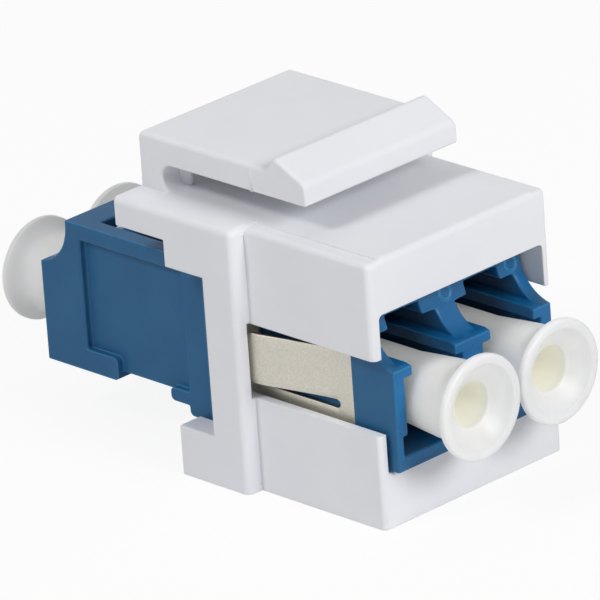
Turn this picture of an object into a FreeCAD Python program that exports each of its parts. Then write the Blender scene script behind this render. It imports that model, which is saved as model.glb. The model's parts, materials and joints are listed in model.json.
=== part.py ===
import FreeCAD, Part
import math
import os

# Snap-in duplex fibre adapter module. Origin under the middle of the module, Z up,
# ports along Y (front ports face -Y). All lengths in millimetres.

os.makedirs("parts", exist_ok=True)
Vector = FreeCAD.Vector
X_AXIS = Vector(1, 0, 0)
Y_AXIS = Vector(0, 1, 0)
Z_AXIS = Vector(0, 0, 1)

# Alignment sleeves and their holders
port_pitch = 6.25
ferrule_diameter = 1.25
sleeve_wall = 0.175
sleeve_length = 11.4
sleeve_gap = 0.25
sleeve_clearance = 0.06
sleeve_end_play = 0.1
holder_wall = 0.62
holder_lip = 0.25
holder_lip_height = 0.17
holder_lead_in = 0.27

# Duplex adapter body, two mirrored halves welded at the middle
adapter_length = 28.3
adapter_width = 12.6
adapter_height = 9.05
axis_above_bottom = 3.76
middle_wall = 1.6
port_width = 4.66
port_floor = 0.85
low_relief_height = 1.2
low_relief_depth = 0.35
low_relief_length = 3.0
rail_above_axis = 1.66
rail_height = 0.72
rail_opening = 3.46
crossbar_underside = 1.52
latch_slot_width = 2.66
latch_slot_roof = 0.75
end_arc_radius = 2.75
end_arc_rise = 0.3
end_arc_overrun = 0.45
window_width = 4.2
window_bar = 1.95
window_length = 6.2
panel_recess = 0.45
end_post = 3.4
top_rail = 1.0
low_rail = 1.35
low_rail_length = 5.85
waist_rise = 0.45
waist_band = 2.5
waist_drop = 0.65
weld_bead = 0.7
weld_bead_height = 0.08
lug_length = 1.5
lug_width = 1.6
lug_drop = 0.05
lug_rise = 0.3
low_corner_radius = 0.3

# Snap-in housing
side_clearance = 0.2
bottom_clearance = 0.1
top_clearance = 0.28
side_wall = 0.6
floor_thickness = 3.25
roof_thickness = 3.22
front_setback = 0.65
body_length = 9.67
flange_overhang = 1.05
skirt_length = 2.58
middle_step_length = 2.97
roof_step_length = 3.8
roof_step_height = 1.75
middle_step_height = 1.6
foot_length = 2.75
foot_height = 3.0
window_bottom = 5.65
window_height = 4.45
window_behind_tab = 0.38
window_beside_tab = 0.28
groove_width = 0.3
groove_depth = 0.45
groove_bottom = 0.4
groove_top_margin = 0.5
side_land_width = 0.95
side_land_drop = 0.08
flange_corner_radius = 0.45
body_corner_radius = 0.3
channel_corner_radius = 0.3

# Latch arm
latch_width = 12.0
latch_wall = 1.65
latch_gap = 1.75
latch_thickness = 1.55
latch_reach = 13.2
latch_rear_inset = 0.15
hook_length = 2.95
hook_height = 0.88
hook_back_slope = 0.6
hook_front_height = 1.25
latch_edge_radius = 0.3
hinge_clearance = 0.04

# Spring clip, one folded strip
clip_thickness = 0.22
clip_clearance = 0.03
clip_margin = 0.12
clip_front_band = 1.0
clip_bridge_length = 3.0
clip_bridge_margin = 0.35
tab_height = 3.05
tab_centre_above_axis = 0.97
tab_slot = 0.6
tab_length = 5.23
tab_flare = 1.02
tab_tip_length = 1.05
tab_tip_return = 0.1
tab_corner_radius = 0.6

# Dust caps
cap_barrel_clearance = 0.05
cap_tip_clearance = 0.35
cap_taper_length = 3.2
cap_collar_length = 0.45
cap_entry_length = 0.4
cap_entry_chamfer = 0.15
cap_flange_diameter = 6.14
cap_rim_thickness = 0.38
cap_edge = 0.08
cap_flare_length = 1.5
cap_flare_curve = ((0.5, 0.15), (0.85, 0.6))
cap_stand_off = 3.6
cap_bore_diameter = 2.7
cap_mouth_diameter = 5.1
cap_mouth_depth = 1.1
cap_bore_depth = 7.0
cap_web = 1.0
cap_engagement = 0.9
cap_socket_clearance = 0.08

# Heights and lengths that follow from the sizes above
half_length = adapter_length / 2
half_width = adapter_width / 2
adapter_bottom = floor_thickness + bottom_clearance
adapter_top = adapter_bottom + adapter_height
axis_height = adapter_bottom + axis_above_bottom
roof_underside = adapter_top + top_clearance
body_height = roof_underside + roof_thickness
inner_half_width = half_width + side_clearance
body_half_width = inner_half_width + side_wall
flange_half_width = body_half_width + flange_overhang
front_y = -half_length + front_setback
flange_front_y = front_y + body_length
skirt_rear_y = flange_front_y + skirt_length
middle_step_y = skirt_rear_y + middle_step_length
roof_rear_y = middle_step_y + roof_step_length
sleeve_radius = ferrule_diameter / 2 + sleeve_wall
holder_bore_radius = sleeve_radius + sleeve_clearance
holder_radius = holder_bore_radius + holder_wall
holder_half_length = sleeve_length / 2 + sleeve_end_play + holder_lip
rail_bottom = axis_height + rail_above_axis
rail_top = rail_bottom + rail_height
crossbar_bottom = adapter_top - crossbar_underside
arc_centre_y = half_length + end_arc_overrun
arc_centre_z = adapter_top - end_arc_rise
port_end_y = arc_centre_y - end_arc_radius
window_end_y = port_end_y - window_bar
waist_bottom = adapter_bottom - waist_drop
recess_bottom = adapter_bottom + low_rail
recess_top = adapter_top - top_rail
recess_end_y = half_length - end_post
panel_half_width = half_width - panel_recess
clip_inner_x = panel_half_width + clip_clearance
clip_outer_x = clip_inner_x + clip_thickness
clip_front_y = -recess_end_y + clip_margin
clip_rear_y = -clip_bridge_margin - clip_clearance
bridge_front_y = clip_rear_y - clip_bridge_length
tab_root_y = clip_front_y + clip_front_band
tab_bend_y = tab_root_y + tab_length
tab_tip_y = tab_bend_y + tab_tip_length
tab_centre_z = axis_height + tab_centre_above_axis
clip_opening_z = (tab_centre_z - tab_height / 2 - tab_slot, tab_centre_z + tab_height / 2 + tab_slot)
pocket_half_width = clip_outer_x + tab_flare + window_beside_tab
over = 1.0
sink = 0.1
near = 0.05


def block(x, y, z):
    """A box between pairs of limits along X, Y and Z."""
    size = Vector(x[1] - x[0], y[1] - y[0], z[1] - z[0])
    return Part.makeBox(size.x, size.y, size.z, Vector(x[0], y[0], z[0]))


def slab(half, y, z):
    """A box centred on X."""
    return block((-half, half), y, z)


def rod(radius, y, x, z):
    """A cylinder along Y between two limits."""
    return Part.makeCylinder(radius, y[1] - y[0], Vector(x, y[0], z), Y_AXIS)


def side_extrusion(points, half):
    """A closed outline in the YZ plane, pushed along X over a centred width."""
    corners = [Vector(-half, y, z) for y, z in points]
    outline = Part.makePolygon(corners + corners[:1])
    return Part.Face(outline).extrude(Vector(2 * half, 0, 0))


def along(edge, axis):
    """True for a straight edge parallel to an axis."""
    first = edge.Vertexes[0].Point
    last = edge.Vertexes[-1].Point
    span = last.sub(first)
    return span.Length > 1e-6 and abs(span.normalize().dot(axis)) > 0.999


def rounded(shape, radius, axes, test):
    """Round the edges along the given axes whose middle passes a test."""
    edges = []
    for edge in shape.Edges:
        if test(edge.CenterOfMass) and any(along(edge, axis) for axis in axes):
            edges.append(edge)
    return shape.makeFillet(radius, edges)


def turned(profile, x, z):
    """A solid of revolution about a port axis from (radius, y) points."""
    corners = [Vector(x + radius, y, z) for radius, y in profile]
    outline = Part.makePolygon(corners + corners[:1])
    return Part.Face(outline).revolve(Vector(x, 0, z), Y_AXIS, 360)


def save(shape, name):
    """Write one sub-part."""
    shape.removeSplitter().exportStep("parts/" + name + ".step")


# --- Snap-in housing ---------------------------------------------------------

def housing_body():
    """The box that passes through the panel, softened all round its front and top."""
    body = slab(body_half_width, (front_y, flange_front_y + over), (0, body_height))

    def outside(p):
        on_front = p.y < front_y + near and p.z > near
        on_top_side = p.z > body_height - near and abs(p.x) > body_half_width - near
        return on_front or on_top_side

    body = rounded(body, body_corner_radius, (X_AXIS, Y_AXIS, Z_AXIS), outside)
    for side in (-1, 1):
        body = body.cut(side_land(side))
    return body


def side_land(side):
    """The slight step down along the body's top edge, where the mould parts."""
    x = sorted((side * (body_half_width - side_land_width), side * (body_half_width + over)))
    return block(x, (front_y - over, flange_front_y), (body_height - side_land_drop, body_height + over))


def housing_flange():
    """The wide flange with its stepped rear, roof overhang and foot."""
    roof_step_z = body_height - roof_step_height
    middle_step_z = roof_step_z - middle_step_height
    outline = [
        (flange_front_y, 0),
        (skirt_rear_y + foot_length, 0),
        (skirt_rear_y + foot_length, foot_height),
        (skirt_rear_y, foot_height),
        (skirt_rear_y, middle_step_z),
        (middle_step_y, middle_step_z),
        (middle_step_y, roof_step_z),
        (roof_rear_y, roof_step_z),
        (roof_rear_y, body_height),
        (flange_front_y, body_height),
    ]
    flange = side_extrusion(outline, flange_half_width)
    edge_y = flange_front_y + near
    flange = rounded(flange, flange_corner_radius, (Z_AXIS,), lambda p: p.y < edge_y)
    for side in (-1, 1):
        flange = flange.cut(flange_groove(side))
    return flange


def flange_groove(side):
    """Narrow groove in the flange's front beside the body, so that a panel seats flat."""
    x = sorted((side * body_half_width, side * (body_half_width + groove_width)))
    y = (flange_front_y - over, flange_front_y + groove_depth)
    return block(x, y, (groove_bottom, body_height - groove_top_margin))


def adapter_channel():
    """The space that the adapter slides into, deeper under its waist."""
    end_y = roof_rear_y + over
    channel = slab(inner_half_width, (front_y - over, end_y), (floor_thickness, roof_underside))
    channel = rounded(channel, channel_corner_radius, (Y_AXIS,), lambda p: p.z > roof_underside - near)
    waist_start = -waist_band - bottom_clearance
    waist_floor = waist_bottom - bottom_clearance
    waist = slab(inner_half_width, (waist_start, end_y), (waist_floor, floor_thickness + over))
    return channel.fuse(waist)


def side_window(side):
    """A window open to the front, running blind behind the flange for the clip's tab."""
    window_z = (window_bottom, window_bottom + window_height)
    outer = sorted((side * (inner_half_width - over), side * (flange_half_width + over)))
    through = block(outer, (front_y - over, flange_front_y), window_z)
    inner = sorted((side * (inner_half_width - over), side * pocket_half_width))
    pocket_y = (front_y - over, tab_tip_y + window_behind_tab)
    return through.fuse(block(inner, pocket_y, window_z))


def latch_root():
    """The lower half of the latch's rear wall, hollowed for the flexing upper half."""
    wall_rear = roof_rear_y - latch_rear_inset
    wall_front = wall_rear - latch_wall
    slot_radius = latch_gap / 2
    hinge_z = body_height + slot_radius
    root = slab(latch_width / 2, (wall_front - slot_radius, wall_rear), (body_height - sink, hinge_z))
    slot_end = Part.makeCylinder(
        slot_radius, 2 * flange_half_width,
        Vector(-flange_half_width, wall_front - slot_radius, hinge_z), X_AXIS)
    cradle = Part.makeCylinder(
        latch_wall / 2 + hinge_clearance, 2 * flange_half_width,
        Vector(-flange_half_width, wall_rear - latch_wall / 2, hinge_z), X_AXIS)
    return root.cut(slot_end).cut(cradle)


def snap_in_housing():
    """White moulding: body, flange, channel, side windows and latch root."""
    housing = housing_body().fuse(housing_flange())
    housing = housing.cut(adapter_channel())
    for side in (-1, 1):
        housing = housing.cut(side_window(side))
    return housing.fuse(latch_root())


# --- Latch arm ---------------------------------------------------------------

def latch_arm():
    """Sprung arm with a ramped hook; its rounded root turns in the housing's cradle."""
    wall_rear = roof_rear_y - latch_rear_inset
    wall_front = wall_rear - latch_wall
    slot_radius = latch_gap / 2
    hinge_y = wall_rear - latch_wall / 2
    hinge_z = body_height + slot_radius
    under_z = body_height + latch_gap
    top_z = under_z + latch_thickness
    tip_y = wall_rear - latch_reach
    ridge_y = tip_y + hook_length - hook_back_slope
    left = -latch_width / 2

    def point(y, z):
        return Vector(left, y, z)

    slot_quarter = slot_radius * math.sqrt(0.5)
    edges = [
        Part.makeLine(point(wall_rear, hinge_z), point(wall_rear, top_z)),
        Part.makeLine(point(wall_rear, top_z), point(tip_y + hook_length, top_z)),
        Part.makeLine(point(tip_y + hook_length, top_z), point(ridge_y, top_z + hook_height)),
        Part.makeLine(point(ridge_y, top_z + hook_height), point(tip_y, under_z + hook_front_height)),
        Part.makeLine(point(tip_y, under_z + hook_front_height), point(tip_y, under_z)),
        Part.makeLine(point(tip_y, under_z), point(wall_front - slot_radius, under_z)),
        Part.Arc(
            point(wall_front - slot_radius, under_z),
            point(wall_front - slot_radius + slot_quarter, hinge_z + slot_quarter),
            point(wall_front, hinge_z)).toShape(),
        Part.Arc(
            point(wall_front, hinge_z),
            point(hinge_y, hinge_z - latch_wall / 2),
            point(wall_rear, hinge_z)).toShape(),
    ]
    arm = Part.Face(Part.Wire(edges)).extrude(Vector(latch_width, 0, 0))
    ridge_z = top_z + hook_height
    arm = rounded(arm, latch_edge_radius, (X_AXIS,), lambda p: p.z > ridge_z - near)

    def rear_top(p):
        return p.y > wall_rear - near and p.z > top_z - near

    return rounded(arm, latch_edge_radius, (X_AXIS,), rear_top)


# --- Duplex adapter ----------------------------------------------------------

def adapter_blank():
    """Outside of one half: recessed side panels inside raised posts and rails."""
    panel_z = (adapter_bottom + waist_rise, adapter_top)
    shape = slab(panel_half_width, (0, half_length), panel_z)
    end_z = (adapter_bottom, adapter_top)
    shape = shape.fuse(slab(half_width, (recess_end_y, half_length), end_z))
    low_y = (half_length - low_rail_length, half_length)
    low = slab(half_width, low_y, (adapter_bottom, recess_bottom))
    low = rounded(low, low_corner_radius, (X_AXIS,), lambda p: p.y < low_y[0] + near)
    shape = shape.fuse(low)
    shape = shape.fuse(slab(half_width, (0, half_length), (recess_top, adapter_top)))
    waist = slab(half_width, (0, waist_band), (waist_bottom, adapter_top))
    corner = (waist_band - near, waist_bottom + near)
    waist = rounded(waist, low_corner_radius, (X_AXIS,), lambda p: p.y > corner[0] and p.z < corner[1])
    shape = shape.fuse(waist)
    bead_half = half_width + weld_bead_height
    shape = shape.fuse(slab(bead_half, (0, weld_bead), (waist_bottom, adapter_top)))
    return shape


def adapter_lug(side):
    """Small seat under the side panel, next to the waist."""
    outer = sorted((side * (half_width - lug_width), side * half_width))
    lug_z = (adapter_bottom - lug_drop, adapter_bottom + waist_rise + lug_rise)
    rear_y = waist_band + lug_length
    lug = block(outer, (waist_band - sink, rear_y), lug_z)
    return rounded(lug, low_corner_radius, (X_AXIS,), lambda p: p.y > rear_y - near)


def end_arc():
    """Concave relief over the mouth, across the whole width."""
    relief = Part.makeCylinder(
        end_arc_radius, 2 * adapter_width, Vector(-adapter_width, arc_centre_y, arc_centre_z), X_AXIS)
    above = slab(adapter_width, (port_end_y, half_length + over), (arc_centre_z, adapter_top + over))
    return relief.fuse(above)


def port_space(side):
    """Everything that is open inside one port, around its sleeve holder."""
    x = side * port_pitch / 2
    out_y = half_length + over
    half = port_width / 2
    floor_z = adapter_bottom + port_floor
    space = block((x - half, x + half), (middle_wall, out_y), (floor_z, rail_bottom))
    relief_x = sorted((x, x + side * (half + low_relief_depth)))
    relief_y = (half_length - low_relief_length, out_y)
    space = space.fuse(block(relief_x, relief_y, (floor_z, floor_z + low_relief_height)))
    half_rail = rail_opening / 2
    space = space.fuse(block((x - half_rail, x + half_rail), (middle_wall, out_y), (axis_height, rail_top)))
    space = space.fuse(block((x - half, x + half), (middle_wall, out_y), (rail_top, crossbar_bottom)))
    half_slot = latch_slot_width / 2
    slot_z = (rail_top, adapter_top - latch_slot_roof)
    space = space.fuse(block((x - half_slot, x + half_slot), (middle_wall, out_y), slot_z))
    half_window = window_width / 2
    window_y = (window_end_y - window_length, window_end_y)
    return space.fuse(block((x - half_window, x + half_window), window_y, (rail_top, adapter_top + over)))


def sleeve_holder(side):
    """Tube that carries one end of the alignment sleeve, with a lip that keeps it in."""
    x = side * port_pitch / 2
    tube = rod(holder_radius, (middle_wall - sink, holder_half_length), x, axis_height)
    return tube


def sleeve_bore(side):
    """Bore for the sleeve, and the hole through the holder's lip, coned to lead a ferrule in."""
    x = side * port_pitch / 2
    lip_y = holder_half_length - holder_lip
    bore = rod(holder_bore_radius, (-over, lip_y), x, axis_height)
    lip_radius = holder_bore_radius - holder_lip_height
    lead_in = Part.makeCone(
        lip_radius, lip_radius + holder_lead_in, holder_lip, Vector(x, lip_y, axis_height), Y_AXIS)
    return bore.fuse(lead_in)


def adapter_half():
    """One moulded half, on the rear side of the middle."""
    shape = adapter_blank()
    for side in (-1, 1):
        shape = shape.fuse(adapter_lug(side))
    shape = shape.cut(end_arc())
    for side in (-1, 1):
        shape = shape.cut(port_space(side))
    for side in (-1, 1):
        shape = shape.fuse(sleeve_holder(side))
    for side in (-1, 1):
        shape = shape.cut(sleeve_bore(side))
    return shape


def clip_seat():
    """Groove over the top rail and waist of the front half for the clip's bridge."""
    seat_y = (bridge_front_y - clip_clearance, clip_rear_y + clip_clearance)
    seat_top = adapter_top + over
    seat_z = adapter_top - clip_thickness
    seat = slab(half_width + over, seat_y, (seat_z, seat_top))
    for side in (-1, 1):
        x = sorted((side * panel_half_width, side * (half_width + over)))
        seat = seat.fuse(block(x, seat_y, (recess_bottom, seat_top)))
    return seat


# --- Alignment sleeves, spring clip and dust caps ------------------------------

def alignment_sleeve(side):
    """Split ceramic sleeve lying in both halves' holders."""
    x = side * port_pitch / 2
    span = (-sleeve_length / 2, sleeve_length / 2)
    sleeve = rod(sleeve_radius, span, x, axis_height)
    sleeve = sleeve.cut(rod(ferrule_diameter / 2, (span[0] - over, span[1] + over), x, axis_height))
    gap_x = (x - sleeve_gap / 2, x + sleeve_gap / 2)
    gap_y = (span[0] - over, span[1] + over)
    return sleeve.cut(block(gap_x, gap_y, (axis_height, axis_height + 2 * sleeve_radius)))


def clip_tab(side):
    """Flared tab with its tip turned back in, cut free of the side plate on three sides."""
    bend_x = clip_inner_x + tab_flare
    tip_x = bend_x - tab_tip_return
    path = [
        (clip_inner_x, tab_root_y - sink),
        (clip_inner_x, tab_root_y),
        (bend_x, tab_bend_y),
        (tip_x, tab_tip_y),
        (tip_x + clip_thickness, tab_tip_y),
        (bend_x + clip_thickness, tab_bend_y),
        (clip_outer_x, tab_root_y),
        (clip_outer_x, tab_root_y - sink),
    ]
    corners = [Vector(side * x, y, tab_centre_z - tab_height / 2) for x, y in path]
    tab = Part.Face(Part.makePolygon(corners + corners[:1])).extrude(Vector(0, 0, tab_height))
    return rounded(tab, tab_corner_radius, (X_AXIS,), lambda p: p.y > tab_tip_y - near)


def clip_side(side):
    """Side plate of the clip with the opening round its tab."""
    x = sorted((side * clip_inner_x, side * clip_outer_x))
    through_x = (x[0] - over, x[1] + over)
    plate_z = (recess_bottom + clip_margin, recess_top - clip_margin)
    plate = block(x, (clip_front_y, clip_rear_y), plate_z)
    end_y = tab_root_y + tab_slot / 2
    opening = block(through_x, (end_y, bridge_front_y), clip_opening_z)
    for end_z in (clip_opening_z[0] + tab_slot / 2, clip_opening_z[1] - tab_slot / 2):
        round_end = Part.makeCylinder(
            tab_slot / 2, clip_thickness + 2 * over, Vector(through_x[0], end_y, end_z), X_AXIS)
        opening = opening.fuse(round_end)
    root_z = (tab_centre_z - tab_height / 2, tab_centre_z + tab_height / 2)
    root = block(through_x, (tab_root_y - over, tab_root_y + tab_slot), root_z)
    return plate.cut(opening.cut(root)).fuse(clip_tab(side))


def spring_clip():
    """One folded strip: a bridge over the adapter and two side plates with flared tabs."""
    bridge_y = (bridge_front_y, clip_rear_y)
    bridge_top = adapter_top + clip_clearance
    clip = slab(clip_outer_x, bridge_y, (bridge_top - clip_thickness, bridge_top))
    for side in (-1, 1):
        x = sorted((side * clip_inner_x, side * clip_outer_x))
        clip = clip.fuse(block(x, bridge_y, (recess_top - 2 * clip_margin, bridge_top)))
        clip = clip.fuse(clip_side(side))
    return clip


def dust_cap(side, end):
    """Turned cap: flared rim, tapered barrel in the port, blind bore outside, socket inside."""
    barrel = port_width / 2 - cap_barrel_clearance
    tip = port_width / 2 - cap_tip_clearance
    rim = cap_flange_diameter / 2
    face_y = half_length + cap_stand_off
    rim_y = face_y - cap_rim_thickness
    flare_y = rim_y - cap_flare_length
    taper_end_y = flare_y - cap_collar_length
    inner_y = holder_half_length - cap_engagement
    socket = holder_radius + cap_socket_clearance
    web_y = face_y - cap_bore_depth
    flare = rim - barrel
    profile = [
        (socket, inner_y),
        (tip - cap_entry_chamfer, inner_y),
        (tip, inner_y + cap_entry_length),
        (tip, taper_end_y - cap_taper_length),
        (barrel, taper_end_y),
        (barrel, flare_y),
        *[(barrel + out * flare, flare_y + forward * cap_flare_length) for forward, out in cap_flare_curve],
        (rim, rim_y),
        (rim, face_y - cap_edge),
        (rim - cap_edge, face_y),
        (cap_mouth_diameter / 2, face_y),
        (cap_bore_diameter / 2, face_y - cap_mouth_depth),
        (cap_bore_diameter / 2, web_y),
        (0, web_y),
        (0, web_y - cap_web),
        (socket, web_y - cap_web),
    ]
    if end < 0:
        profile = [(radius, -y) for radius, y in profile]
    return turned(profile, side * port_pitch / 2, axis_height)


save(snap_in_housing(), "snap_in_housing")
save(latch_arm(), "latch_arm")

rear_half = adapter_half()
save(rear_half, "adapter_rear_half")
front_half = rear_half.mirror(Vector(0, 0, 0), Y_AXIS)
save(front_half.cut(clip_seat()), "adapter_front_half")

save(spring_clip(), "spring_clip")

for side, side_name in ((-1, "left"), (1, "right")):
    save(alignment_sleeve(side), side_name + "_sleeve")
    save(dust_cap(side, -1), "front_" + side_name + "_cap")
    save(dust_cap(side, 1), "rear_" + side_name + "_cap")
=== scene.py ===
import json
import math
from contextlib import contextmanager

import bmesh
import bpy
import numpy as np
from mathutils import Matrix, Vector


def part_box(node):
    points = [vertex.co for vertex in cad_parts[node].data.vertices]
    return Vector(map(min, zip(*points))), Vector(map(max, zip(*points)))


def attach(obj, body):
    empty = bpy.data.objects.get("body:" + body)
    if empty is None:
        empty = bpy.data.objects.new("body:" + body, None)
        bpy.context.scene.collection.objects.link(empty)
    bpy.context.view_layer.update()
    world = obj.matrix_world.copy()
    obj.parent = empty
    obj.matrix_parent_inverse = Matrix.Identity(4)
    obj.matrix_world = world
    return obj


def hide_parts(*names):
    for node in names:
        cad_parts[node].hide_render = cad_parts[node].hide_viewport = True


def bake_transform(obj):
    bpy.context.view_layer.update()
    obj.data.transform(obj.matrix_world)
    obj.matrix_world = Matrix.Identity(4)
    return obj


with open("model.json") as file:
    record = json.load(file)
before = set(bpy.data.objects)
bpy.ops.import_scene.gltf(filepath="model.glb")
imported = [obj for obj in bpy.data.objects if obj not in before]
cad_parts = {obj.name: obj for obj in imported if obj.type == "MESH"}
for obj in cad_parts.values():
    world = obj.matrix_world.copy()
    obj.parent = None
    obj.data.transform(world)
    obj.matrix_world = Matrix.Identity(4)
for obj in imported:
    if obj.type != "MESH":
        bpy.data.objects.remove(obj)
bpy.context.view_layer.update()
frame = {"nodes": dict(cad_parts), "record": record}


# --- Snap-in housing ---------------------------------------------------------
# One white ABS moulding: the body that passes through the panel, the wide flange
# that stops behind it, and the channel that the adapter is pushed into. Its edges
# are broken all round by the tool, and it has a fine satin grain.

MILLIMETRE = 0.001


class Wire:
    """A shader socket. Arithmetic on it adds Math nodes, and node() adds any other kind."""

    def __init__(self, tree, socket=None):
        self.tree = tree
        self.socket = socket

    def node(self, kind, settings, inputs, output=0):
        """Adds one node: its settings first, then a value or a link for each socket."""
        made = self.tree.nodes.new("ShaderNode" + kind)
        for name, value in settings.items():
            setattr(made, name, value)
        for name, value in inputs.items():
            if isinstance(value, Wire):
                self.tree.links.new(value.socket, made.inputs[name])
            else:
                made.inputs[name].default_value = value
        return Wire(self.tree, made.outputs[output])

    def math(self, operation, first, second=0.0):
        """Adds one Math node on values or wires."""
        return self.node("Math", {"operation": operation}, {0: first, 1: second})

    def __add__(self, other):
        return self.math("ADD", self, other)

    def __radd__(self, other):
        return self.math("ADD", other, self)

    def __sub__(self, other):
        return self.math("SUBTRACT", self, other)

    def __rsub__(self, other):
        return self.math("SUBTRACT", other, self)

    def __mul__(self, other):
        return self.math("MULTIPLY", self, other)

    def __rmul__(self, other):
        return self.math("MULTIPLY", other, self)

    def __abs__(self):
        return self.math("ABSOLUTE", self)

    def axis(self, name):
        """The X, Y or Z part of a place or a direction."""
        return self.node("SeparateXYZ", {}, {"Vector": self}, output=name)

    def step(self, low, high):
        """0 below low, 1 above high, smooth between."""
        limits = {"Value": self, "From Min": low, "From Max": high}
        return self.node("MapRange", {"interpolation_type": "SMOOTHSTEP"}, limits)

    def rise(self, low, high):
        """The same step, between two lengths in millimetres."""
        return self.step(low * MILLIMETRE, high * MILLIMETRE)

    def mix(self, under, over):
        """Goes from one colour to another as this wire goes from 0 to 1."""
        return self.node("Mix", {"data_type": "RGBA"}, {0: self, 6: under, 7: over}, output=2)


def colour(red, green, blue):
    """A colour as it is seen, on a scale of 255, in the linear numbers that a shader takes."""
    seen = np.array([red, green, blue]) / 255
    linear = np.where(seen > 0.04045, ((seen + 0.055) / 1.055) ** 2.4, seen / 12.92)
    return (*linear, 1.0)


def new_finish(name):
    """An empty material, and a wire on its object coordinates."""
    material = bpy.data.materials.new(name)
    material.use_nodes = True
    start = Wire(material.node_tree)
    return material, start.node("TexCoord", {}, {}, output="Object")


def grain(place, size, detail=3.0):
    """Noise whose lumps are about size millimetres across, from 0 to 1."""
    inputs = {"Vector": place, "Scale": 1 / (size * MILLIMETRE), "Detail": detail}
    return place.node("TexNoise", {}, {**inputs, "Roughness": 0.55})


def rounded_normal(place, radius, height, strength, depth):
    """Edges that read as rounded by radius millimetres, under a bump of a given depth."""
    edge = place.node("Bevel", {"samples": 6}, {"Radius": radius * MILLIMETRE})
    inputs = {"Height": height, "Strength": strength, "Distance": depth * MILLIMETRE}
    return place.node("Bump", {}, {**inputs, "Normal": edge})


def dress(material, constants, wires):
    """Sets the shader's own sockets to numbers, and links what varies."""
    shader = material.node_tree.nodes["Principled BSDF"]
    for name, value in constants.items():
        shader.inputs[name].default_value = value
    for name, wire in wires.items():
        material.node_tree.links.new(wire.socket, shader.inputs[name])
    return material


def white_moulding():
    """Satin white ABS: a cloudy tint a few millimetres across and a fine tool grain."""
    material, place = new_finish("white_moulding")
    cloud = grain(place, 6.0)
    fine = grain(place, 0.16)
    tint = cloud.step(0.3, 0.7).mix(colour(235, 236, 241), colour(238, 239, 242))
    wires = {
        "Base Color": tint,
        "Roughness": 0.48 + fine * 0.14,
        "Normal": rounded_normal(place, 0.1, fine, 0.25, 0.012),
    }
    return dress(material, {"IOR": 1.5, "Specular IOR Level": 0.3}, wires)


@contextmanager
def reshaping(mesh):
    """Opens a mesh for editing and writes it back afterwards."""
    form = bmesh.new()
    form.from_mesh(mesh)
    yield form
    form.to_mesh(mesh)
    form.free()


def add_object(name, data):
    """Puts a mesh, a light or a camera into the scene as an object."""
    made = bpy.data.objects.new(name, data)
    bpy.context.scene.collection.objects.link(made)
    return made


def points_of(piece):
    """A piece's points in metres, as rows of x, y and z."""
    points = np.empty(len(piece.data.vertices) * 3)
    piece.data.vertices.foreach_get("co", points)
    return points.reshape(-1, 3)


def move_points(piece, points):
    """Gives a piece's points new places in metres."""
    piece.data.vertices.foreach_set("co", points.ravel())
    piece.data.update()


MERGE = 0.0001 * MILLIMETRE


def part_at(form, axis, place, faces):
    """Cuts some faces along a plane across one axis and gives back the edges of the cut."""
    across = [float(axis == index) for index in range(3)]
    corners = {corner for face in faces for corner in face.verts}
    edges = {edge for face in faces for edge in face.edges}
    plane = {"plane_co": [place * MILLIMETRE * share for share in across], "plane_no": across}
    parted = bmesh.ops.bisect_plane(form, geom=[*corners, *edges, *faces], dist=MERGE, **plane)
    return [item for item in parted["geom_cut"] if isinstance(item, bmesh.types.BMEdge)]


def whole_faces(node, name, cuts):
    """A merged copy of a solid's mesh, its loose triangles joined into whole flat faces.

    The faces stay parted at some planes across X, so that none of them rings a hole."""
    mesh = frame["nodes"][node].data.copy()
    flat = math.radians(0.5)
    with reshaping(mesh) as form:
        bmesh.ops.remove_doubles(form, verts=form.verts, dist=MERGE)
        for x in cuts:
            for edge in part_at(form, 0, x, form.faces[:]):
                edge.seam = True
        joined = {"verts": form.verts, "edges": form.edges, "delimit": {"SEAM"}}
        bmesh.ops.dissolve_limit(form, angle_limit=flat, **joined)
    mesh.materials.clear()
    return add_object(name, mesh)


def run_modifier(piece, kind, **settings):
    """Applies one modifier to a piece's mesh."""
    modifier = piece.modifiers.new(kind, kind)
    for name, value in settings.items():
        setattr(modifier, name, value)
    shape = piece.evaluated_get(bpy.context.evaluated_depsgraph_get())
    mesh = bpy.data.meshes.new_from_object(shape)
    piece.modifiers.clear()
    piece.data = mesh


def edge_room(edge):
    """How far an edge may be rounded: less beside a narrow face or where a short edge meets it."""
    beside = min(face.calc_area() for face in edge.link_faces) / edge.calc_length()
    meeting = [other for corner in edge.verts for other in corner.link_edges if other != edge]
    return min(0.4 * beside, 0.45 * min(other.calc_length() for other in meeting))


def break_edges(piece, width, segments=3):
    """Rounds every sharp edge by up to a width in millimetres and keeps the flat faces flat."""
    sharp = math.radians(35)
    with reshaping(piece.data) as form:
        weight = form.edges.layers.float.new("bevel_weight_edge")
        for edge in form.edges:
            if len(edge.link_faces) == 2 and edge.calc_face_angle() > sharp:
                edge[weight] = min(1.0, edge_room(edge) / (width * MILLIMETRE))
    weighted = {"limit_method": "WEIGHT", "use_clamp_overlap": False}
    run_modifier(piece, "BEVEL", width=width * MILLIMETRE, segments=segments, **weighted)


def smooth_over(piece):
    """Smooth shading that keeps the large faces flat."""
    piece.data.shade_smooth()
    run_modifier(piece, "WEIGHTED_NORMAL", weight=80)


roof_z = 15.9
housing_front = -13.5
body_half, flange_half = 7.1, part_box("snap_in_housing")[1][0] / MILLIMETRE
flange_front = -3.83
groove_width, groove_depth, shallow = 0.3, 0.45, 0.04
soft_edge = 0.45


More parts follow.
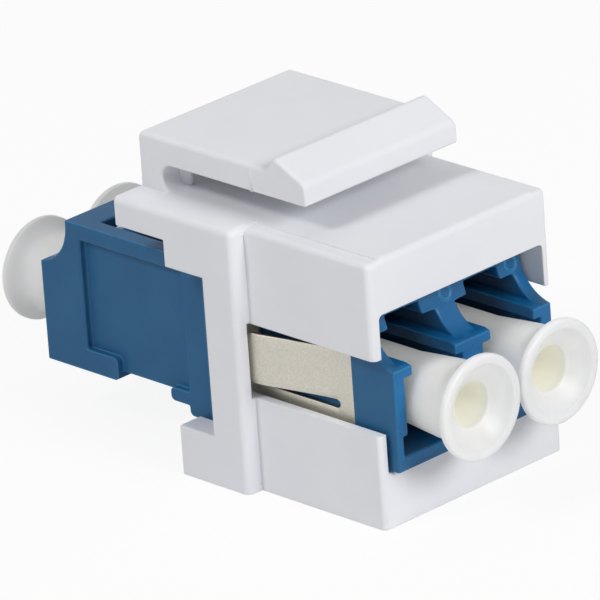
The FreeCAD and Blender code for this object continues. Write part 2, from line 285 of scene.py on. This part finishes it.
def fill_groove(piece):
    """Brings the floor of the narrow groove between flange and body almost to the flange's face."""
    points = points_of(piece)
    near, margin = 0.01, 0.05
    x, y = np.abs(points[:, 0]) / MILLIMETRE, points[:, 1] / MILLIMETRE
    at_floor = np.abs(y - flange_front - groove_depth) < near
    beside = (x > body_half - margin) & (x < body_half + groove_width + margin)
    points[at_floor & beside, 1] = (flange_front + shallow) * MILLIMETRE
    move_points(piece, points)


def inside_box(points, half, front):
    """How far each point lies inside a box: from its sides, its front and its top."""
    x, y, z = points.T
    return np.stack([half - np.abs(x), y - front, roof_z - z], axis=-1)


def pulled_in(points, half, front):
    """How far points move to lie on a box whose edges are rounded by the soft radius.

    Within that radius of two or three faces, a point beyond the quarter circle or the
    ball's octant about the inner corner is drawn to it along its radius."""
    beyond = np.clip(soft_edge - inside_box(points, half, front), 0, None)
    reach = np.linalg.norm(beyond, axis=1, keepdims=True)
    return beyond * (1 - soft_edge / np.maximum(reach, soft_edge))


def soften_roof(piece, lowest=9.0):
    """Rounds the roof's front and side edges and the body's upright ones more fully.

    Cuts the faces above the lowest height at four depths, and draws their points in."""
    boxes = ((body_half, housing_front), (flange_half, flange_front))
    halves = (body_half, flange_half)

    def is_high(face):
        return max(corner.co.z for corner in face.verts) > lowest * MILLIMETRE

    with reshaping(piece.data) as form:
        for share in (0.33, 0.59, 0.8, 1.0):
            depth = soft_edge * share
            planes = [(2, roof_z - depth), (1, housing_front + depth), (1, flange_front + depth)]
            planes += [(0, side * (half - depth)) for side in (-1, 1) for half in halves]
            for axis, place in planes:
                part_at(form, axis, place, [face for face in form.faces if is_high(face)])
    points = points_of(piece) / MILLIMETRE
    moves = [pulled_in(points, half, front) for half, front in boxes]
    nearer = np.linalg.norm(moves[0], axis=1) < np.linalg.norm(moves[1], axis=1)
    move = np.where(nearer[:, None], moves[0], moves[1])
    move *= ((points[:, 2] > lowest) & (points[:, 2] < roof_z + 0.001))[:, None]
    ahead = np.ones(len(points))
    points += move * np.stack([-np.sign(points[:, 0]), ahead, -ahead], axis=-1)
    move_points(piece, points * MILLIMETRE)


housing = whole_faces("snap_in_housing", "white_housing", [0])
fill_groove(housing)
break_edges(housing, 0.1)
soften_roof(housing)
smooth_over(housing)
housing_white = white_moulding()
housing.data.materials.append(housing_white)
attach(housing, "housing")
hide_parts("snap_in_housing")


# --- Duplex adapter, front and rear halves -----------------------------------
# Two blue glass-filled halves, moulded alike and welded at the middle. The outside
# comes from a spark-textured tool and looks greyer; the mouths and rails are polished.

def blue_moulding():
    """Blue plastic: greyer and rougher outside, deeper and glossier in the mouths and on their
    ends. Below the middle band and on top the end faces take the greyer colour too, partly a
    rougher finish and partly painted shade. Painted shade darkens it down the ports, and a painted
    highlight lightens its thin edges."""
    material, place = new_finish("blue_moulding")
    facing = place.node("TexCoord", {}, {}, output="Normal")
    along, height = abs(place.axis("Y")), place.axis("Z")
    outside = abs(place.axis("X")).rise(5.5, 5.62)
    on_top = height.rise(11.0, 12.1)
    end_face = abs(facing.axis("Y")).step(0.5, 0.8) * along.rise(12.0, 12.2)
    # Below the middle band and on top, the end faces take the greyer dull colour too: partly a
    # rougher finish, partly painted shade from the caps below and the housing above.
    middling = height.rise(3.3, 4.6) * (1 - on_top)
    matt_and_painted_shade = outside.math("MAXIMUM", outside, 1 - middling) * (1 - end_face * middling)
    cloud = grain(place, 3.0)
    fine = grain(place, 0.11)
    # Painted highlight: a lighter teal along the thin edges, where the bevel's rounded normal parts
    # from the face's.
    bent = place.node("Bevel", {"samples": 6}, {"Radius": 0.12 * MILLIMETRE})
    flat = place.node("NewGeometry", {}, {}, output="Normal")
    dot = {"operation": "DOT_PRODUCT"}
    alike = bent.node("VectorMath", dot, {0: bent, 1: flat}, output="Value")
    painted_edge_highlight = (1 - alike).step(0.0, 0.05)
    deep = cloud.step(0.3, 0.7).mix(colour(24, 106, 163), colour(29, 112, 169))
    # Painted shade: the blue darkens towards navy down the ports, away from the mouths.
    painted_port_shade = 1 - along.rise(10.5, 13.0)
    deep_with_painted_shade = (painted_port_shade * 0.75).mix(deep, colour(10, 34, 58))
    dull = cloud.step(0.3, 0.7).mix(colour(36, 95, 138), colour(42, 100, 143))
    wires = {
        # Base colour: the painted edge highlight over either the deep blue with its painted port
        # shade or the dull colour.
        "Base Color": (painted_edge_highlight * 0.7).mix(matt_and_painted_shade.mix(deep_with_painted_shade, dull), colour(70, 156, 208)),
        "Roughness": 0.24 + matt_and_painted_shade * 0.26 + fine * 0.1,
        "Normal": rounded_normal(place, 0.13, fine, 0.3, 0.01),
    }
    return dress(material, {"IOR": 1.52, "Specular IOR Level": 0.3}, wires)


def grid_faces(rows, columns, offset=0):
    """Quads between neighbouring points of a rows by columns grid."""
    index = np.arange(rows * columns).reshape(rows, columns) + offset
    corners = (index[:-1, :-1], index[1:, :-1], index[1:, 1:], index[:-1, 1:])
    return np.stack(corners, axis=-1).reshape(-1, 4)


def patches_to_object(name, patches):
    """Joins grids of points, in millimetres, into one mesh object with shared seams."""
    points, faces, start = [], [], 0
    for patch in patches:
        rows, columns, _ = patch.shape
        points.append(patch.reshape(-1, 3))
        faces.append(grid_faces(rows, columns, start))
        start += rows * columns
    mesh = bpy.data.meshes.new(name)
    mesh.from_pydata(np.concatenate(points) * MILLIMETRE, [], np.concatenate(faces).tolist())
    return add_object(name, mesh)


def weld(piece, reach=0.001):
    """Closes the seams of a piece's grids: joins points within a reach in millimetres."""
    run_modifier(piece, "WELD", merge_threshold=reach * MILLIMETRE)


def face_outward(piece):
    """Turns every face of a closed piece to point out."""
    with reshaping(piece.data) as form:
        bmesh.ops.recalc_face_normals(form, faces=form.faces)


def add_shells(piece, patches):
    """Adds closed shells to a piece's mesh, where they sink into it."""
    added = patches_to_object("shell", patches)
    weld(added)
    face_outward(added)
    with reshaping(piece.data) as form:
        form.from_mesh(added.data)
    bpy.data.objects.remove(added)


def end_arc(z):
    """How far out the adapter's scooped end lies at each height.

    It is the circle's centre less the root of its radius squared minus the drop below
    that centre squared, and straight above the centre."""
    centre_y, centre_z, radius = 14.6, 12.1, 2.75
    return centre_y - np.sqrt(radius ** 2 - np.minimum(z - centre_z, 0) ** 2)


def ejector_ring(x, end, height=11.5, radius=0.42, bead=0.05):
    """A low ring on the crossbar where an ejector pin ended: a circle swept round a circle,
    its length drawn onto the scooped end."""
    turns = [np.linspace(0, 2 * np.pi, count) for count in (49, 9)]
    around, across = np.meshgrid(*turns, indexing="ij")
    reach = radius + bead * np.cos(across)
    z = height + reach * np.sin(around)
    y = end_arc(z) + bead * np.sin(across)
    return np.stack([x + reach * np.cos(around), end * y, z], axis=-1)


mounts = {mount["name"]: mount["pos_m"] for mount in frame["record"]["mounts"]}
port_x, _, axis_z = np.array(mounts["right_ferrule_bore"]) / MILLIMETRE
ring_x = 5.5
middle_ring_x = 0.25
adapter_blue = blue_moulding()
for end, end_name in ((-1, "front"), (1, "rear")):
    node = "adapter_" + end_name + "_half"
    half = whole_faces(node, "blue_" + end_name + "_half", [-port_x, 0, port_x])
    break_edges(half, 0.13)
    places = (-ring_x, -end * middle_ring_x, ring_x)
    add_shells(half, [ejector_ring(x, end) for x in places])
    smooth_over(half)
    half.data.materials.append(adapter_blue)
    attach(half, "housing")
    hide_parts(node)


# --- Split alignment sleeves -------------------------------------------------
# Two ground zirconia tubes, each slit along its length so that it grips a ferrule.
# They lie loose in the adapter's holders and show only down an open port.

def ground_ceramic():
    """Ivory ceramic with faint grinding rings round the sleeve."""
    material, place = new_finish("ground_ceramic")
    rings = place.node("Mapping", {}, {"Vector": place, "Scale": (0.2, 8.0, 0.2)})
    lines = grain(rings, 0.5)
    tint = lines.step(0.3, 0.7).mix(colour(232, 229, 218), colour(240, 238, 230))
    wires = {"Base Color": tint, "Roughness": 0.16 + lines * 0.12}
    return dress(material, {"IOR": 2.0}, wires)


sleeve_ceramic = ground_ceramic()
for sleeve in ("left_sleeve", "right_sleeve"):
    node = frame["nodes"][sleeve]
    node.data.materials.clear()
    node.data.materials.append(sleeve_ceramic)


# --- Spring clip -------------------------------------------------------------
# One strip of tempered steel, dull plated, folded over the adapter like a saddle.
# Each side plate has a flared tab cut free by a slot above and below it; the tab
# springs out into the housing's side window and locks the adapter in.

clip_low, clip_high = (np.array(corner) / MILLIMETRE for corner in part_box("spring_clip"))
strip = 0.22
plate_x = 5.88
plate_front = clip_low[1]
band = 1.32
root_y = plate_front + band
bridge_rear = clip_high[1]
bridge_length = 3.0
bridge_front = bridge_rear - bridge_length
tab_low, tab_high = 6.555, 9.605
slot = 0.5
plate_low, plate_high = clip_low[2], 11.28
bridge_top = clip_high[2] - strip / 2
flare_out, flare_back = 1.02, -0.08
tab_bend, tab_tip = root_y + 4.91, root_y + 5.96
tab_corner = 0.6
bend_lead, bend_softness, root_softness = 0.1, 0.12, 0.012
plate_middle = -plate_x - strip / 2


def slot_heights(low, high, count=9):
    """Heights across a slot at the cosines of even angles, so closer together at its edges."""
    turn = np.linspace(0, np.pi, count)
    return (low + high) / 2 - (high - low) / 2 * np.cos(turn)


def plate_heights():
    """All heights of a side plate: strip, slot, tab, slot, strip."""
    return [
        np.linspace(plate_low, tab_low - slot, 4),
        slot_heights(tab_low - slot, tab_low),
        np.linspace(tab_low, tab_high, 9),
        slot_heights(tab_high, tab_high + slot),
        np.linspace(tab_high + slot, plate_high, 4),
    ]


def front_edge_of_slots(z):
    """How far forward of the root each height is open.

    At a round slot end that is the root of its radius squared minus the height from its
    middle squared, and nothing elsewhere."""
    radius = slot / 2
    depth = np.zeros_like(z)
    for centre in (tab_low - radius, tab_high + radius):
        inside = np.abs(z - centre) < radius
        depth = np.where(inside, np.sqrt(np.maximum(radius ** 2 - (z - centre) ** 2, 0)), depth)
    return depth


def flat_patch(y_start, y_end, z, rows=12):
    """A grid in the plane of the side plate, in straight lines from one length to another."""
    share = np.linspace(0, 1, rows)[:, None]
    y = y_start * (1 - share) + y_end * share
    y = np.broadcast_to(y, (rows, len(z)))
    return np.stack([np.full_like(y, plate_middle), y, np.broadcast_to(z, y.shape)], axis=-1)


def tab_outward(y):
    """How far the tab stands out: a ramp with a soft root, then a soft bend back in.

    The ramp is the root of the share squared plus a softness, less its start. The bend
    takes off its slope times the length past it squared, over that length plus a softness."""
    share = np.clip((y - root_y) / (tab_bend - root_y), 0, None)
    start = root_softness ** 0.5
    ramp = flare_out * (np.sqrt(share ** 2 + root_softness) - start) / (
        (1 + root_softness) ** 0.5 - start)
    back = np.clip(y - tab_bend + bend_lead, 0, None)
    slope = flare_out / (tab_bend - root_y) + flare_back / (tab_tip - tab_bend)
    return ramp - slope * back ** 2 / (back + bend_softness)


def tab_patch(z):
    """The tab: its height draws in along a quarter circle round the corners of the tip."""
    turn = np.linspace(0, np.pi / 2, 14)
    tail = tab_tip - tab_corner * (1 - np.sin(turn))
    y = np.concatenate([np.linspace(root_y, tail[0], 26)[:-1], tail])
    near = np.clip(y - tail[0], 0, tab_corner)
    draw_in = tab_corner - np.sqrt(np.maximum(tab_corner ** 2 - near ** 2, 0))
    middle = (tab_low + tab_high) / 2
    half = (tab_high - tab_low) / 2
    scale = (half - draw_in[:, None]) / half
    heights = middle + (z[None, :] - middle) * scale
    x = np.broadcast_to((plate_middle - tab_outward(y))[:, None], heights.shape)
    y = np.broadcast_to(y[:, None], heights.shape)
    return np.stack([x, y, heights], axis=-1)


def bridge_patch(z):
    """The saddle: up one side plate, round a quarter circle, and across the adapter."""
    fold = 0.4
    rise = np.concatenate([z, np.linspace(z[-1], bridge_top - fold, 4)[1:]])
    turn = np.linspace(0, np.pi / 2, 9)[1:]
    fold_x = plate_middle + fold - fold * np.cos(turn)
    fold_z = bridge_top - fold + fold * np.sin(turn)
    left_x = np.concatenate([np.full_like(rise, plate_middle), fold_x])
    left_z = np.concatenate([rise, fold_z])
    across = np.linspace(plate_middle + fold, -plate_middle - fold, 12)[1:-1]
    x = np.concatenate([left_x, across, -left_x[::-1]])
    z = np.concatenate([left_z, np.full_like(across, bridge_top), left_z[::-1]])
    y = np.linspace(bridge_front, bridge_rear, 10)[:, None]
    return np.stack(np.broadcast_arrays(x, y, z), axis=-1)


def mirrored(patch):
    """The same grid on the other side, with its rows the other way round."""
    return patch[:, ::-1] * np.array([-1, 1, 1])


def spring_clip():
    """All patches of the strip, thickened and with its sheared edges broken."""
    heights = plate_heights()
    below, _, tab, _, above = heights
    z = np.concatenate([below] + [part[1:] for part in heights[1:]])
    band_rear = np.broadcast_to(root_y - front_edge_of_slots(z), z.shape)
    side = [flat_patch(np.full_like(z, plate_front), band_rear, z, rows=8)]
    side.append(flat_patch(root_y, bridge_front, below, rows=14))
    side.append(flat_patch(root_y, bridge_front, above, rows=14))
    side.append(tab_patch(tab))
    patches = side + [mirrored(patch) for patch in side] + [bridge_patch(z)]
    clip = patches_to_object("folded_spring_clip", patches)
    weld(clip, 0.004)
    run_modifier(clip, "SOLIDIFY", thickness=strip * MILLIMETRE, offset=0.0)
    break_edges(clip, 0.03, segments=2)
    smooth_over(clip)
    return clip


def dull_steel():
    """Plated strip: warm grey with a fine mottle, darker and rougher on its sheared edges."""
    material, place = new_finish("dull_steel")
    drawn = place.node("Mapping", {}, {"Vector": place, "Scale": (1.0, 0.35, 1.0)})
    lines = grain(drawn, 0.06, 4.0)
    mottle = grain(place, 0.13, 4.0)
    speck = grain(place, 0.05, 2.0).step(0.62, 0.72)
    facing = place.node("TexCoord", {}, {}, output="Normal")
    sheared = abs(facing.axis("Z")).step(0.6, 0.9)
    face = mottle.step(0.3, 0.7).mix(colour(214, 210, 198), colour(226, 222, 211))
    edge = speck.mix(colour(112, 104, 88), colour(226, 222, 210))
    wires = {
        "Base Color": sheared.mix(face, edge),
        "Roughness": 0.36 + lines * 0.14 + sheared * 0.15,
        "Normal": rounded_normal(place, 0.02, lines, 0.25, 0.004),
    }
    return dress(material, {"Metallic": 1.0}, wires)


clip = spring_clip()
clip.data.materials.append(dull_steel())
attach(clip, "housing")
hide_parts("spring_clip")


# --- Dust caps ---------------------------------------------------------------
# Four soft white polyethylene plugs, one pushed into each port: a round barrel
# with a flared rim to pull on, a blind bore outside and a socket for the sleeve
# holder inside. The bore is painted lighter and warmer, with a faint painted glow, for light
# through its thin wall.

def arc(centre, radius, start, end, count):
    """Points of a circular arc in (radius, length): the centre plus the radius times the
    cosine and sine of even angles, given in degrees."""
    turn = np.radians(np.linspace(start, end, count))
    return np.stack([centre[0] + radius * np.cos(turn), centre[1] + radius * np.sin(turn)], axis=-1)


def revolved(name, profile, centre, turns=96):
    """Turns a (radius, y) outline about a line along Y through centre = (x, z).

    x and z are the centre plus the radius times the cosine and sine of the turn."""
    turn = np.linspace(0, 2 * np.pi, turns + 1)
    radius, length = profile[:, 0], profile[:, 1]
    x = centre[0] + radius[:, None] * np.cos(turn)
    z = centre[1] + radius[:, None] * np.sin(turn)
    y = np.broadcast_to(length[:, None], x.shape)
    return patches_to_object(name, [np.stack([x, y, z], axis=-1)])


def cap_profile():
    """From the outer bore's floor, over the rim, down flare, collar and taper, into the socket.

    The flare's radius grows with a power of the share of its length."""
    inner, face = (corner[1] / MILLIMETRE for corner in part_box("rear_left_cap"))
    rim, barrel, tip, bore, mouth, socket = 3.07, 2.28, 1.98, 1.34, 2.52, 1.56
    floor, web = face - 7.0, face - 8.0
    flare_start, flare_run, flare_power, flare_top = face - 1.88, 1.42, 2.6, rim - 0.06
    flare = np.linspace(0, 1, 14)
    flare_radius = barrel + (flare_top - barrel) * flare ** flare_power
    flare_length = flare_start + flare_run * flare
    outline = [
        np.array([[0, floor], [bore * 0.5, floor]]),
        arc((bore - 0.15, floor + 0.15), 0.15, -90, 0, 5),
        np.array([[bore, floor + 1.0], [bore, face - 2.2], [bore, face - 1.02]]),
        arc((bore + 0.2, face - 1.02), 0.2, 180, 135, 4)[1:],
        np.array([[mouth - 0.4, face - 0.44], [mouth - 0.06, face - 0.17]]),
        arc((mouth + 0.05, face - 0.12), 0.07, 165, 90, 4),
        np.array([[mouth + 0.2, face - 0.015], [rim - 0.3, face]]),
        arc((rim - 0.17, face - 0.17), 0.17, 90, 0, 7),
        arc((rim - 0.12, face - 0.36), 0.12, 0, -60, 5),
        np.column_stack([flare_radius, flare_length])[::-1][1:],
        np.array([[barrel, face - 2.33], [tip + 0.1, face - 4.5], [tip, face - 5.55]]),
        np.array([[tip, inner + 1.5], [tip, inner + 0.4], [tip - 0.12, inner + 0.04]]),
        np.array([[tip - 0.18, inner], [socket + 0.1, inner], [socket, inner + 0.12]]),
        np.array([[socket, web], [0, web]]),
    ]
    return np.concatenate(outline)


def waxy_white():
    """Soft polyethylene: even off-white with faint flow marks, and a painted glow down the bore, a
    lighter and warmer colour and a faint emission, for light through the thin wall.
    """
    material, place = new_finish("waxy_white")
    from_axis = abs(place.axis("X")) - port_x * MILLIMETRE
    from_height = place.axis("Z") - axis_z * MILLIMETRE
    radius = place.math("SQRT", from_axis * from_axis + from_height * from_height)
    depth = abs(place.axis("Y"))
    # Painted glow: down the bore the colour is lighter and warmer and faintly emits, for light
    # passing through the thin wall.
    painted_bore_glow = (1 - radius.rise(1.33, 1.6)) * (1 - depth.rise(15.6, 17.4))
    flow = grain(place, 2.2)
    fine = grain(place, 0.2)
    marks = {"Height": flow, "Strength": 0.1, "Distance": 0.02 * MILLIMETRE}
    pale = flow.step(0.3, 0.7).mix(colour(238, 238, 236), colour(243, 243, 241))
    wires = {
        "Base Color": painted_bore_glow.mix(pale, colour(252, 250, 236)),
        "Emission Color": painted_bore_glow.mix((0, 0, 0, 1), (1.0, 0.97, 0.86, 1)),
        "Roughness": 0.36 + fine * 0.12,
        "Normal": flow.node("Bump", {}, marks),
    }
    milky = {
        "Subsurface Weight": 0.8,
        "Subsurface Scale": 1.6 * MILLIMETRE,
        "Subsurface Radius": (1, 0.97, 0.8),
    }
    # The emission strength sets the bore's faint painted glow.
    return dress(material, {"IOR": 1.5, "Emission Strength": 0.08, **milky}, wires)


cap_white = waxy_white()
for end, end_name in ((-1, "front"), (1, "rear")):
    for side, side_name in ((-1, "left"), (1, "right")):
        port = end_name + "_" + side_name
        profile = cap_profile() * np.array([1, end])
        cap = revolved(port + "_dust_cap", profile, (side * port_x, axis_z))
        weld(cap)
        if end > 0:
            cap.data.flip_normals()
        cap.data.shade_smooth()
        cap.data.materials.append(cap_white)
        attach(cap, port + "_dust_cap")
        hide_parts(port + "_cap")


# --- Latch arm ---------------------------------------------------------------
# The sprung arm on top, moulded in one with the housing: a wall that rises from the
# roof's rear edge, bends forward over a gap and ends in a ramped hook. It flexes in
# that wall, so this piece covers the arm and the wall together.

latch_low, latch_high = (np.array(corner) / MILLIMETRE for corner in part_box("latch_arm"))
wall_rear = latch_high[1]
wall_thickness, gap, arm_thickness = 1.65, 1.75, 1.55
wall_front = wall_rear - wall_thickness
tip_y = latch_low[1]
arm_top = roof_z + gap + arm_thickness
hook_length, hook_ridge, hook_height, hook_front = 2.95, 2.4, 0.88, 1.25
foot_reach, buried, sunk = 1.4, 0.4, 0.004
cover = 0.03
arm_half = 6.0
latch_half = arm_half + cover


def fillet(points, radii, values, count=7):
    """Rounds each corner of a closed outline by its own radius, with points along each arc.

    An arc's points are its first and last radius, each times the sine of the angle to the
    other, over the sine of the whole angle. A value is given for the run that follows each
    corner, and goes over to the next one along the arc. Gives back points and values."""
    points = np.array(points, float)
    rounded, carried = [], []
    neighbours = np.roll(points, 1, 0), np.roll(points, -1, 0)
    around = zip(points, *neighbours, radii, np.roll(values, 1), values)
    for here, before, after, radius, value_in, value_out in around:
        if radius == 0:
            rounded.append(here[None])
            carried.append([value_out])
            continue
        back = (before - here) / np.linalg.norm(before - here)
        onward = (after - here) / np.linalg.norm(after - here)
        half = math.acos(np.clip(back @ onward, -1, 1)) / 2
        reach = radius / math.tan(half)
        centre = here + (back + onward) / np.linalg.norm(back + onward) * radius / math.sin(half)
        first, last = here + back * reach - centre, here + onward * reach - centre
        share = np.linspace(0, 1, count)[:, None]
        angle = math.acos(np.clip(first @ last / radius ** 2, -1, 1))
        swept = np.sin((1 - share) * angle) * first + np.sin(share * angle) * last
        rounded.append(centre + swept / math.sin(angle))
        carried.append(value_in + (value_out - value_in) * share[:, 0])
    return np.concatenate(rounded), np.concatenate(carried)


def latch_outline():
    """The arm's side outline in (y, z), slightly proud of the solid, and how far its
    side edges are rounded along it: fully on top, little underneath."""
    under = roof_z + gap
    corners = [
        (wall_rear + cover, roof_z - buried),
        (wall_rear + cover, arm_top + cover),
        (tip_y + hook_length, arm_top + cover),
        (tip_y + hook_ridge, arm_top + hook_height + cover),
        (tip_y - cover, under + hook_front),
        (tip_y - cover, under - cover),
        (wall_front - cover, under - cover),
        (wall_front - cover, roof_z - sunk),
        (wall_front - foot_reach, roof_z - sunk),
        (wall_front - foot_reach, roof_z - buried),
    ]
    radii = [0, 0.38, 0.25, 0.4, 0.6, 0.2, 0.85, 0.86, 0, 0]
    side_edges = np.array([0.2, 0.34, 0.2, 0.24, 0.17, 0.09, 0.2, 0.2, 0.2, 0.2])
    return fillet(corners, radii, side_edges)


def rounded_slab(name, outline, edges, half_width):
    """Carries an outline along X and closes both ends.

    Over a quarter circle at each end the outline draws in along its own normals by its
    edge radius times one minus the sine of the turn."""
    onward = np.roll(outline, -1, 0) - np.roll(outline, 1, 0)
    inward = np.stack([-onward[:, 1], onward[:, 0]], axis=-1)
    inward /= np.linalg.norm(inward, axis=1)[:, None]
    y, z = outline.T
    inward *= np.sign(np.sum(y * np.roll(z, -1) - np.roll(y, -1) * z))
    turn = np.linspace(0, np.pi / 2, 7)[:, None]
    inset = edges * (1 - np.sin(turn))
    x_end = half_width - edges + edges * np.cos(turn)
    x = np.concatenate([-x_end, x_end[::-1]])
    inset = np.concatenate([inset, inset[::-1]])
    section = outline[None] + inward[None] * inset[..., None]
    rings = np.concatenate([x[..., None], section], axis=-1)
    closed = np.concatenate([rings, rings[:, :1]], axis=1)
    rows, columns, _ = closed.shape
    faces = grid_faces(rows, columns).tolist()
    faces.append(list(range(columns - 1))[::-1])
    faces.append([(rows - 1) * columns + i for i in range(columns - 1)])
    mesh = bpy.data.meshes.new(name)
    mesh.from_pydata(closed.reshape(-1, 3) * MILLIMETRE, [], faces)
    return add_object(name, mesh)


def post(middle, radii, z, turns=24):
    """A closed upright post with flat ends: an oval, its two radii times the cosine and sine
    of the turn, at the lower and the upper height."""
    turn = np.linspace(0, 2 * np.pi, turns + 1)
    share = np.array([0, 1, 1, 0])[:, None]
    x = middle[0] + radii[0] * share * np.cos(turn)
    y = middle[1] + radii[1] * share * np.sin(turn)
    height = np.broadcast_to(np.array([z[0], z[0], z[1], z[1]])[:, None], x.shape)
    return np.stack([x, y, height], axis=-1)


latch = rounded_slab("latch_arm_with_wall", *latch_outline(), latch_half)
weld(latch)
face_outward(latch)
rib_x, rib_y, rib_radii = 4.3, wall_front - 0.2, (0.36, 0.5)
rib_heights = (roof_z - 0.3, roof_z + gap + 0.1)
ribs = [post((side * rib_x, rib_y), rib_radii, rib_heights) for side in (-1, 1)]
ridge_y, ridge_radii = -3.57, (0.035, 0.08)
ridge_heights = (roof_z + gap - 0.04, arm_top - 0.25)
parting_ridge = post((-latch_half, ridge_y), ridge_radii, ridge_heights)
add_shells(latch, [*ribs, parting_ridge])
smooth_over(latch)
latch.data.materials.append(housing_white)
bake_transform(latch)
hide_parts("latch_arm")


# --- Floor, light and camera -------------------------------------------------
# A pale floor that stays white to the camera but keeps the shadow, three soft lights
# (in front, high on the left and overhead), and a dome that fills the rest.

def studio_floor():
    """White floor: mostly its own white to the camera, partly what the lights give it."""
    material = bpy.data.materials.new("studio_floor")
    material.use_nodes = True
    tree = material.node_tree
    tree.nodes.clear()
    start = Wire(tree)
    seen = start.node("LightPath", {}, {}, output="Is Camera Ray")
    lit = start.node("BsdfDiffuse", {}, {"Color": (0.9, 0.9, 0.9, 1)})
    white = start.node("Emission", {}, {"Color": (1, 1, 1, 1), "Strength": 1.0})
    mixed = start.node("MixShader", {}, {0: seen * 0.9, 1: lit, 2: white})
    output = tree.nodes.new("ShaderNodeOutputMaterial")
    tree.links.new(mixed.socket, output.inputs["Surface"])
    return material


def floor_grid():
    """A flat square grid just under the module: x and y run evenly to its edges."""
    reach, drop = 600, 0.02
    along = np.linspace(-reach, reach, 9)
    x, y = np.meshgrid(along, along, indexing="ij")
    return np.stack([x, y, np.full_like(x, -drop)], axis=-1)


floor = patches_to_object("floor", [floor_grid()])
floor.data.materials.append(studio_floor())


def softbox(name, place, aim, size, power):
    """A square area light turned towards a point."""
    light = bpy.data.lights.new(name, "AREA")
    light.size = size
    light.energy = power
    made = add_object(name, light)
    made.location = place
    direction = np.array(aim) - np.array(place)
    made.rotation_mode = "QUATERNION"
    made.rotation_quaternion = Vector(direction).to_track_quat("-Z", "Y")


middle = (0, 0, 0.01)
softbox("front_key", (0, -0.431, 0.2535), middle, size=0.15, power=1.17)
softbox("left_key", (-0.3245, 0.07, 0.3745), middle, size=0.10, power=0.66)
softbox("overhead", (0, 0.1, 0.45), middle, size=0.35, power=0.24)

world = bpy.data.worlds.new("dome")
world.use_nodes = True
world_tree = world.node_tree
background = world_tree.nodes["Background"]
sky = Wire(world_tree)
seen = sky.node("LightPath", {}, {}, output="Is Camera Ray")
mirrored_ray = sky.node("LightPath", {}, {}, output="Is Glossy Ray")
passed_ray = sky.node("LightPath", {}, {}, output="Is Transmission Ray")
background.inputs["Color"].default_value = (1.0, 1.0, 1.0, 1)
fill = 0.27
strength = fill + (1 - fill) * (seen + mirrored_ray + passed_ray)
world_tree.links.new(strength.socket, background.inputs["Strength"])
bpy.context.scene.world = world


def camera_axes(azimuth, elevation, roll):
    """Right, up and back directions of a camera turned by three angles in degrees."""
    around, over, roll = np.radians([azimuth, elevation, roll])
    level = math.cos(over)
    back = np.array([math.sin(around) * level, -math.cos(around) * level, math.sin(over)])
    right = np.cross(-back, [0, 0, 1])
    right /= np.linalg.norm(right)
    up = np.cross(back, right)
    sine, cosine = math.sin(roll), math.cos(roll)
    return right * cosine + up * sine, up * cosine - right * sine, back


right, up, back = camera_axes(azimuth=-43.45, elevation=22.08, roll=-4.14)
aim = np.array([0.000787, 0.000274, 0.008])
distance = 0.5048
lens = bpy.data.cameras.new("camera")
lens.sensor_width = 36
lens.lens = 535.3
lens.shift_x = -0.0015
lens.shift_y = -0.0028
lens.clip_start, lens.clip_end = 0.05, 5.0
camera = add_object("camera", lens)
turned = np.eye(4)
turned[:3, 0], turned[:3, 1], turned[:3, 2] = right, up, back
turned[:3, 3] = aim + back * distance
camera.matrix_world = Matrix(turned.tolist())
bpy.context.scene.camera = camera
bpy.context.scene.view_settings.view_transform = "Standard"
